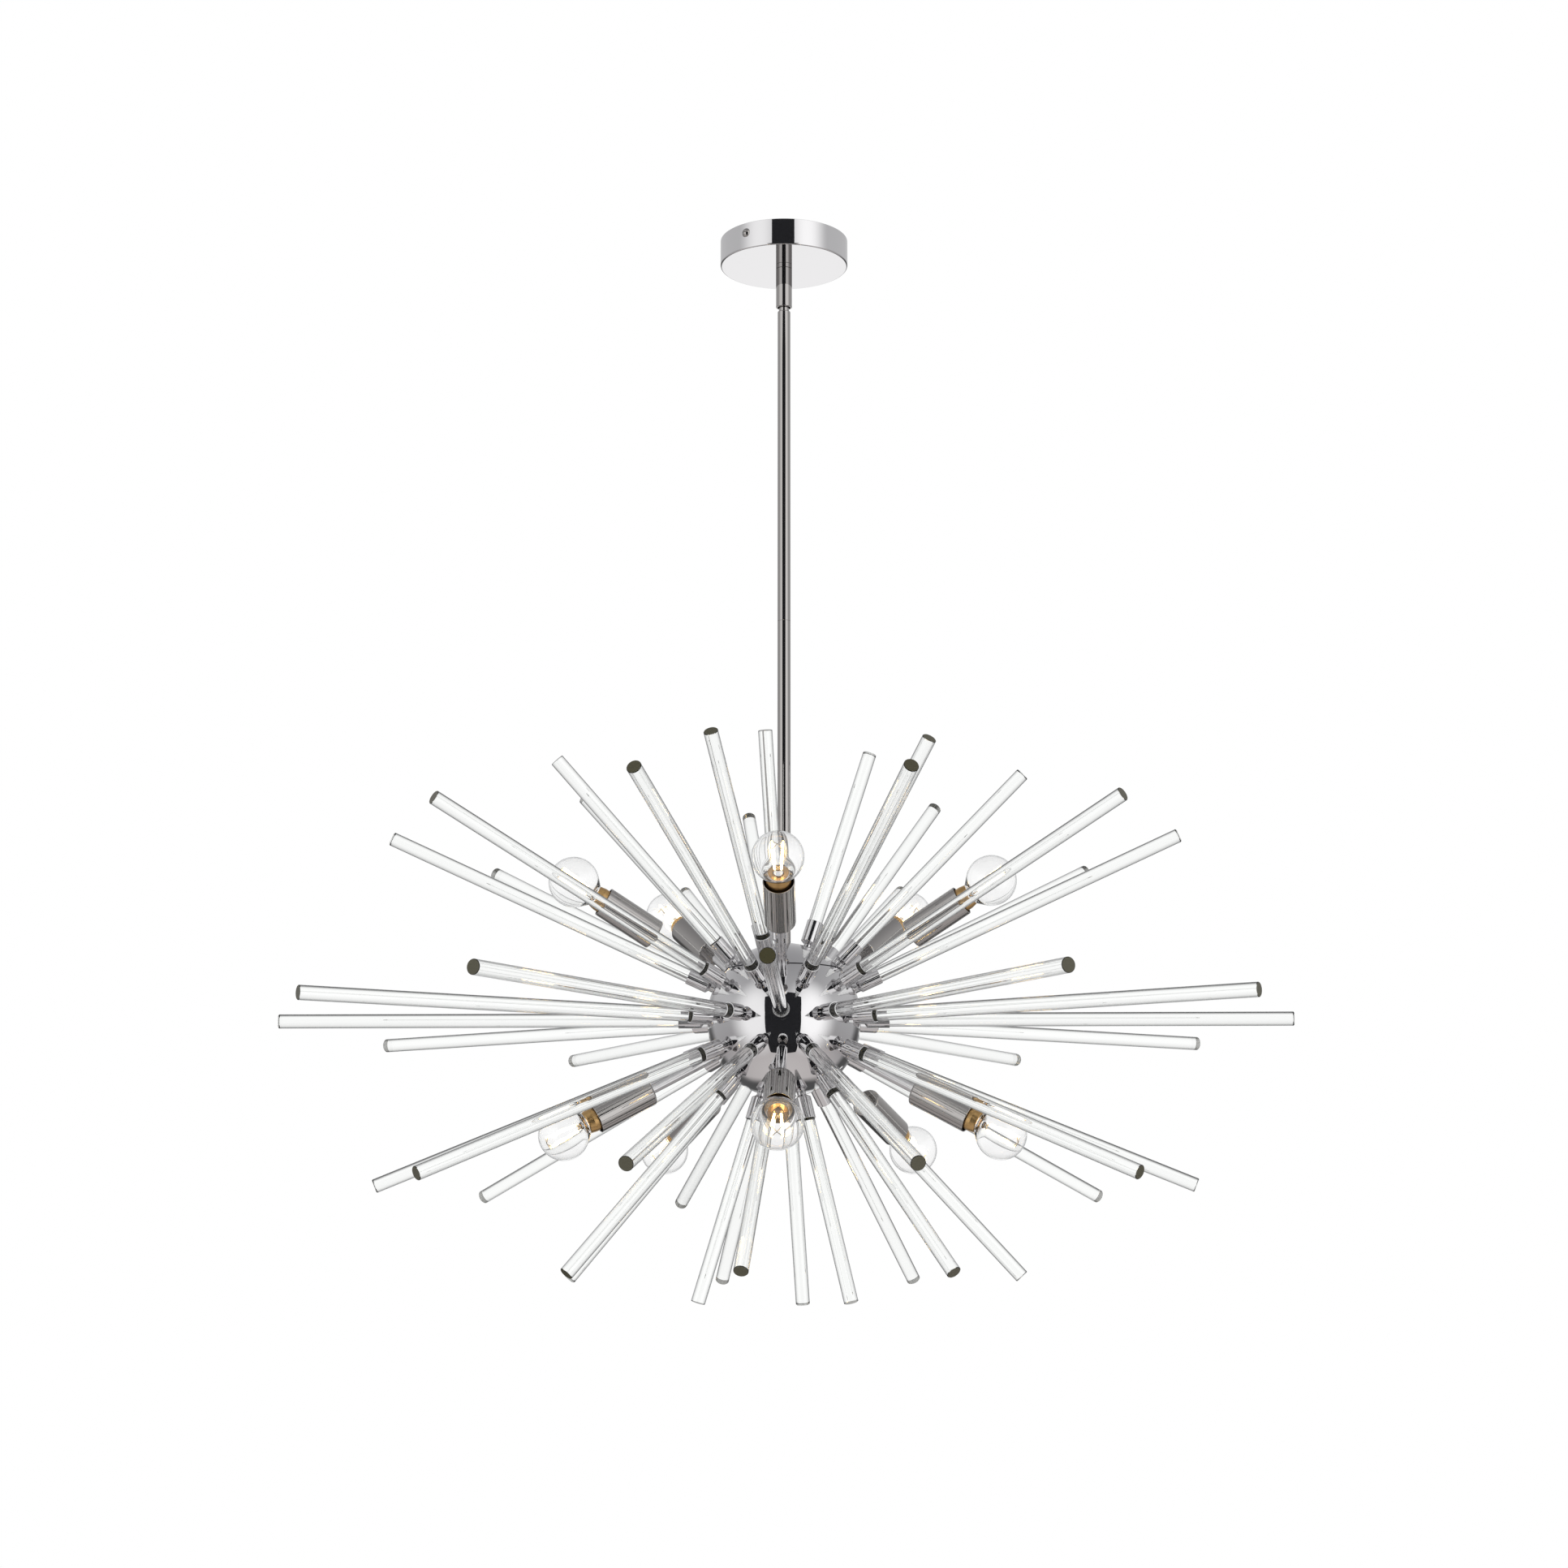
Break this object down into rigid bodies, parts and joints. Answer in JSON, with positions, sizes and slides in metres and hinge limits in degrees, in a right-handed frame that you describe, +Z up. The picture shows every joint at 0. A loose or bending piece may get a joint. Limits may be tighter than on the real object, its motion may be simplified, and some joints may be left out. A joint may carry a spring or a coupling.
{
  "type": "crystal pendant light",
  "caption": "Chrome pendant light: a round hub on a jointed stem throws out a flattened burst of clear glass rods with small globe bulbs on short arms between them.",
  "frame": {"origin": "middle of the canopy at the ceiling, on the stem's axis", "axes": "+Z up along the stem into the ceiling, the front is -Y, +X is right seen from the front"},
  "size_m": [0.9142, 0.9142, 0.9912],
  "materials": {
    "chrome": "mirror-bright chrome plate on brass and steel",
    "zinc_steel": "zinc-plated steel",
    "ground_green": "green-dyed earthing screw",
    "crystal": "clear drawn glass with polished ends",
    "bulb_glass": "thin clear blown glass",
    "brass": "plain brass base",
    "filament": "phosphor-coated filament sticks on nickel leads",
    "phenolic": "moulded dark phenolic"
  },
  "bodies": {
    "ceiling_mount": {"mounting_plate": "zinc_steel", "ground_screw": "ground_green", "canopy": "chrome", "canopy_screws": "chrome", "swivel_spindle": "chrome", "spindle_washer": "zinc_steel", "spindle_nut": "zinc_steel", "swivel_retainer": "zinc_steel"},
    "swivel": {"swivel_sleeve": "chrome", "swivel_pins": "chrome", "stop_screw": "zinc_steel"},
    "pendant": {"swivel_ball": "chrome", "upper_stem": "chrome", "stem_coupler": "zinc_steel", "lower_stem": "chrome", "hub_lid": "chrome", "hub_bowl": "chrome", "hub_strap": "zinc_steel", "hub_nipple": "zinc_steel", "hub_nut": "zinc_steel", "equator_rods": "crystal", "mid_rods": "crystal", "steep_rods": "crystal", "polar_rods": "crystal", "rod_ferrules": "chrome", "rod_screws": "zinc_steel", "bulb_arms": "chrome", "arm_nuts": "zinc_steel", "socket_cups": "chrome", "lampholders": "phenolic"},
    "upper_bulb_1": {"upper_bulb_1_glass": "bulb_glass", "upper_bulb_1_base": "brass", "upper_bulb_1_filament": "filament"},
    "upper_bulb_2": {"upper_bulb_2_glass": "bulb_glass", "upper_bulb_2_base": "brass", "upper_bulb_2_filament": "filament"},
    "upper_bulb_3": {"upper_bulb_3_glass": "bulb_glass", "upper_bulb_3_base": "brass", "upper_bulb_3_filament": "filament"},
    "upper_bulb_4": {"upper_bulb_4_glass": "bulb_glass", "upper_bulb_4_base": "brass", "upper_bulb_4_filament": "filament"},
    "upper_bulb_5": {"upper_bulb_5_glass": "bulb_glass", "upper_bulb_5_base": "brass", "upper_bulb_5_filament": "filament"},
    "lower_bulb_1": {"lower_bulb_1_glass": "bulb_glass", "lower_bulb_1_base": "brass", "lower_bulb_1_filament": "filament"},
    "lower_bulb_2": {"lower_bulb_2_glass": "bulb_glass", "lower_bulb_2_base": "brass", "lower_bulb_2_filament": "filament"},
    "lower_bulb_3": {"lower_bulb_3_glass": "bulb_glass", "lower_bulb_3_base": "brass", "lower_bulb_3_filament": "filament"},
    "lower_bulb_4": {"lower_bulb_4_glass": "bulb_glass", "lower_bulb_4_base": "brass", "lower_bulb_4_filament": "filament"},
    "lower_bulb_5": {"lower_bulb_5_glass": "bulb_glass", "lower_bulb_5_base": "brass", "lower_bulb_5_filament": "filament"}
  },
  "joints": [
    {"name": "swivel_turn", "type": "hinge", "parent": "ceiling_mount", "child": "swivel", "pos_m": [0, 0, -0.0343], "axis": [0, 0, 1], "range_deg": [-150, 150]},
    {"name": "swivel_tilt", "type": "hinge", "parent": "swivel", "child": "pendant", "pos_m": [0, 0, -0.0613], "axis": [1, 0, 0], "range_deg": [-15, 15]},
    {"name": "upper_bulb_1_screw", "type": "hinge", "parent": "pendant", "child": "upper_bulb_1", "pos_m": [0, -0.15858, -0.64316], "axis": [0, -0.8572, 0.515], "range_deg": [0, 1080]},
    {"name": "upper_bulb_2_screw", "type": "hinge", "parent": "pendant", "child": "upper_bulb_2", "pos_m": [0.15082, -0.049, -0.64316], "axis": [0.8152, -0.2649, 0.515], "range_deg": [0, 1080]},
    {"name": "upper_bulb_3_screw", "type": "hinge", "parent": "pendant", "child": "upper_bulb_3", "pos_m": [0.09321, 0.12829, -0.64316], "axis": [0.5038, 0.6935, 0.515], "range_deg": [0, 1080]},
    {"name": "upper_bulb_4_screw", "type": "hinge", "parent": "pendant", "child": "upper_bulb_4", "pos_m": [-0.09321, 0.12829, -0.64316], "axis": [-0.5038, 0.6935, 0.515], "range_deg": [0, 1080]},
    {"name": "upper_bulb_5_screw", "type": "hinge", "parent": "pendant", "child": "upper_bulb_5", "pos_m": [-0.15082, -0.049, -0.64316], "axis": [-0.8152, -0.2649, 0.515], "range_deg": [0, 1080]},
    {"name": "lower_bulb_1_screw", "type": "hinge", "parent": "pendant", "child": "lower_bulb_1", "pos_m": [0, -0.16334, -0.8253], "axis": [0, -0.8829, -0.4695], "range_deg": [0, 1080]},
    {"name": "lower_bulb_2_screw", "type": "hinge", "parent": "pendant", "child": "lower_bulb_2", "pos_m": [0.15535, -0.05048, -0.8253], "axis": [0.8397, -0.2728, -0.4695], "range_deg": [0, 1080]},
    {"name": "lower_bulb_3_screw", "type": "hinge", "parent": "pendant", "child": "lower_bulb_3", "pos_m": [0.09601, 0.13215, -0.8253], "axis": [0.519, 0.7143, -0.4695], "range_deg": [0, 1080]},
    {"name": "lower_bulb_4_screw", "type": "hinge", "parent": "pendant", "child": "lower_bulb_4", "pos_m": [-0.09601, 0.13215, -0.8253], "axis": [-0.519, 0.7143, -0.4695], "range_deg": [0, 1080]},
    {"name": "lower_bulb_5_screw", "type": "hinge", "parent": "pendant", "child": "lower_bulb_5", "pos_m": [-0.15535, -0.05048, -0.8253], "axis": [-0.8397, -0.2728, -0.4695], "range_deg": [0, 1080]}
  ]
}
